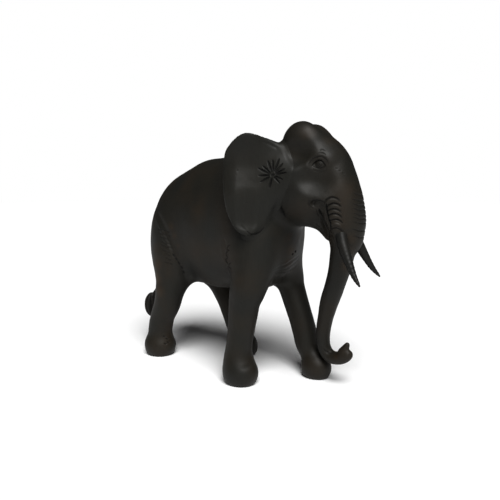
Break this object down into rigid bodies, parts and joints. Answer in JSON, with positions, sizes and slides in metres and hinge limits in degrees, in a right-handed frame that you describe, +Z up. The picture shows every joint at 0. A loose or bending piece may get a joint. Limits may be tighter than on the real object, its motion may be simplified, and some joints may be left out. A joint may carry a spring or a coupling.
{
  "type": "elephant statuette",
  "caption": "Free-standing walking elephant figurine carved in dark wood, head turned slightly left, with dished ears, curved tusks, a hanging trunk and a tufted tail",
  "frame": {"origin": "centre of the bounding box in plan, at the plane the four soles stand on", "axes": "+Z up, the elephant faces -Y, its own right side is -X"},
  "size_m": [0.1224, 0.2856, 0.2409],
  "materials": {
    "body_wood": "near-black stained hardwood, waxed to a satin sheen",
    "ear_wood": "near-black stained hardwood, satin",
    "tusk_wood": "near-black stained hardwood, satin",
    "tail_wood": "near-black stained hardwood, satin",
    "dowel_wood": "bare pale hardwood pin"
  },
  "bodies": {
    "root": {"carved_body": "body_wood", "right_ear": "ear_wood", "left_ear": "ear_wood", "right_tusk": "tusk_wood", "left_tusk": "tusk_wood", "tail": "tail_wood", "right_ear_dowel": "dowel_wood", "left_ear_dowel": "dowel_wood"}
  },
  "joints": []
}
